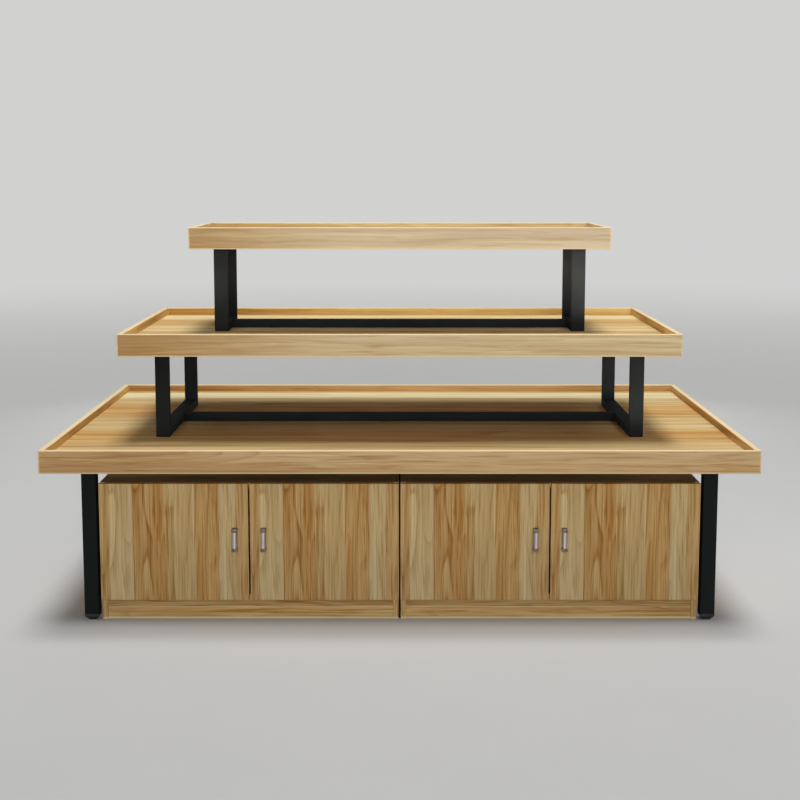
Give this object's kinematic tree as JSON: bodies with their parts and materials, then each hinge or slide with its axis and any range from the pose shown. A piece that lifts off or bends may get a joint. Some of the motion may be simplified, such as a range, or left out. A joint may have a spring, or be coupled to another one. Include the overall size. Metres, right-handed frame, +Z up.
{
  "type": "tiered display table",
  "caption": "Stepped shop display table with rimmed wooden trays on black tube stands, and low cabinets with hinged doors below.",
  "frame": {"origin": "on the floor, below the middle of the table", "axes": "+X along the table's length to the right as seen from its doors, +Y from the doors to the back, +Z up"},
  "size_m": [2.4, 1.68, 1.331],
  "materials": {
    "wood": "satin wood-grain board with staves",
    "black_steel": "fine-textured black powder coat",
    "black_plastic": "matt moulded plastic",
    "satin_metal": "satin plated metal",
    "zinc": "nickel-plated pressed steel"
  },
  "bodies": {
    "table": {"base_tray_deck": "wood", "base_tray_front_rim": "wood", "base_tray_back_rim": "wood", "base_tray_left_rim": "wood", "base_tray_right_rim": "wood", "mid_tray_deck": "wood", "mid_tray_front_rim": "wood", "mid_tray_back_rim": "wood", "mid_tray_left_rim": "wood", "mid_tray_right_rim": "wood", "top_tray_deck": "wood", "top_tray_front_rim": "wood", "top_tray_back_rim": "wood", "top_tray_left_rim": "wood", "top_tray_right_rim": "wood", "base_left_end_frame": "black_steel", "base_right_end_frame": "black_steel", "base_front_rail": "black_steel", "base_back_rail": "black_steel", "base_left_cross_rail": "black_steel", "base_right_cross_rail": "black_steel", "front_left_foot": "black_plastic", "front_right_foot": "black_plastic", "back_left_foot": "black_plastic", "back_right_foot": "black_plastic", "mid_stand_left_hoop": "black_steel", "mid_stand_right_hoop": "black_steel", "mid_stand_rail": "black_steel", "top_stand_left_hoop": "black_steel", "top_stand_right_hoop": "black_steel", "top_stand_rail": "black_steel", "left_cabinet_left_side": "wood", "left_cabinet_right_side": "wood", "left_cabinet_top": "wood", "left_cabinet_bottom": "wood", "left_cabinet_back": "wood", "left_cabinet_kick": "wood", "left_cabinet_left_upper_hinge": "zinc", "left_cabinet_left_lower_hinge": "zinc", "left_cabinet_right_upper_hinge": "zinc", "left_cabinet_right_lower_hinge": "zinc", "right_cabinet_left_side": "wood", "right_cabinet_right_side": "wood", "right_cabinet_top": "wood", "right_cabinet_bottom": "wood", "right_cabinet_back": "wood", "right_cabinet_kick": "wood", "right_cabinet_left_upper_hinge": "zinc", "right_cabinet_left_lower_hinge": "zinc", "right_cabinet_right_upper_hinge": "zinc", "right_cabinet_right_lower_hinge": "zinc"},
    "left_cabinet_left_leaf": {"left_cabinet_left_door": "wood", "left_cabinet_left_handle": "satin_metal"},
    "left_cabinet_right_leaf": {"left_cabinet_right_door": "wood", "left_cabinet_right_handle": "satin_metal"},
    "right_cabinet_left_leaf": {"right_cabinet_left_door": "wood", "right_cabinet_left_handle": "satin_metal"},
    "right_cabinet_right_leaf": {"right_cabinet_right_door": "wood", "right_cabinet_right_handle": "satin_metal"}
  },
  "joints": [
    {"name": "left_cabinet_left_door_swing", "type": "hinge", "parent": "table", "child": "left_cabinet_left_leaf", "pos_m": [-1.024, -0.723, 0.275], "axis": [0, 0, -1], "range_deg": [0, 110]},
    {"name": "left_cabinet_right_door_swing", "type": "hinge", "parent": "table", "child": "left_cabinet_right_leaf", "pos_m": [-0.003, -0.723, 0.275], "axis": [0, 0, 1], "range_deg": [0, 85]},
    {"name": "right_cabinet_left_door_swing", "type": "hinge", "parent": "table", "child": "right_cabinet_left_leaf", "pos_m": [0.003, -0.723, 0.275], "axis": [0, 0, -1], "range_deg": [0, 85]},
    {"name": "right_cabinet_right_door_swing", "type": "hinge", "parent": "table", "child": "right_cabinet_right_leaf", "pos_m": [1.024, -0.723, 0.275], "axis": [0, 0, 1], "range_deg": [0, 110]}
  ]
}
